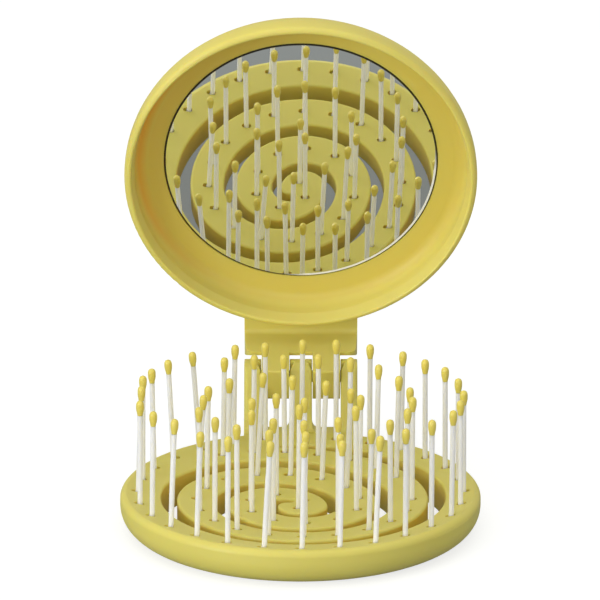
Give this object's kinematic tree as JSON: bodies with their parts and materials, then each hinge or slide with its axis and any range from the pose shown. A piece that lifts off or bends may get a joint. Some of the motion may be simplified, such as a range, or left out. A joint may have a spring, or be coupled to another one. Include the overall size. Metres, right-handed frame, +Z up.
{
  "type": "folding hairbrush with mirror",
  "caption": "Pocket hairbrush: a round base with upright bristle pins and a spiral slot, and a round mirror lid hinged at its rear edge that folds shut over the pins or opens flat.",
  "frame": {"origin": "centre of the round base's flat underside", "axes": "+Z up along the bristle pins, +Y from the base centre to the hinge, +X along the hinge axis to the right"},
  "size_m": [0.087, 0.1156, 0.1162],
  "materials": {
    "yellow_plastic": "fine satin, moulded pastel yellow",
    "white_nylon": "satin, slightly translucent drawn nylon",
    "yellow_tip": "smooth semi-gloss dipped bead",
    "mirror_glass": "silvered flat glass with a ground edge",
    "adhesive_pad": "foam tape",
    "pin_steel": "drawn wire"
  },
  "bodies": {
    "base": {"brush_body": "yellow_plastic", "back_cover": "yellow_plastic", "hinge_pin": "pin_steel", "outer_ring_pins": "white_nylon", "outer_coil_pins": "white_nylon", "middle_coil_pins": "white_nylon", "inner_coil_pins": "white_nylon", "outer_ring_tips": "yellow_tip", "outer_coil_tips": "yellow_tip", "middle_coil_tips": "yellow_tip", "inner_coil_tips": "yellow_tip"},
    "lid": {"lid_frame": "yellow_plastic", "mirror_glass": "mirror_glass", "mirror_adhesive": "adhesive_pad"}
  },
  "joints": [
    {"name": "lid_hinge", "type": "hinge", "parent": "base", "child": "lid", "pos_m": [0, 0.0533, 0.0202], "axis": [1, 0, 0], "range_deg": [-106.5, 73.4]}
  ]
}
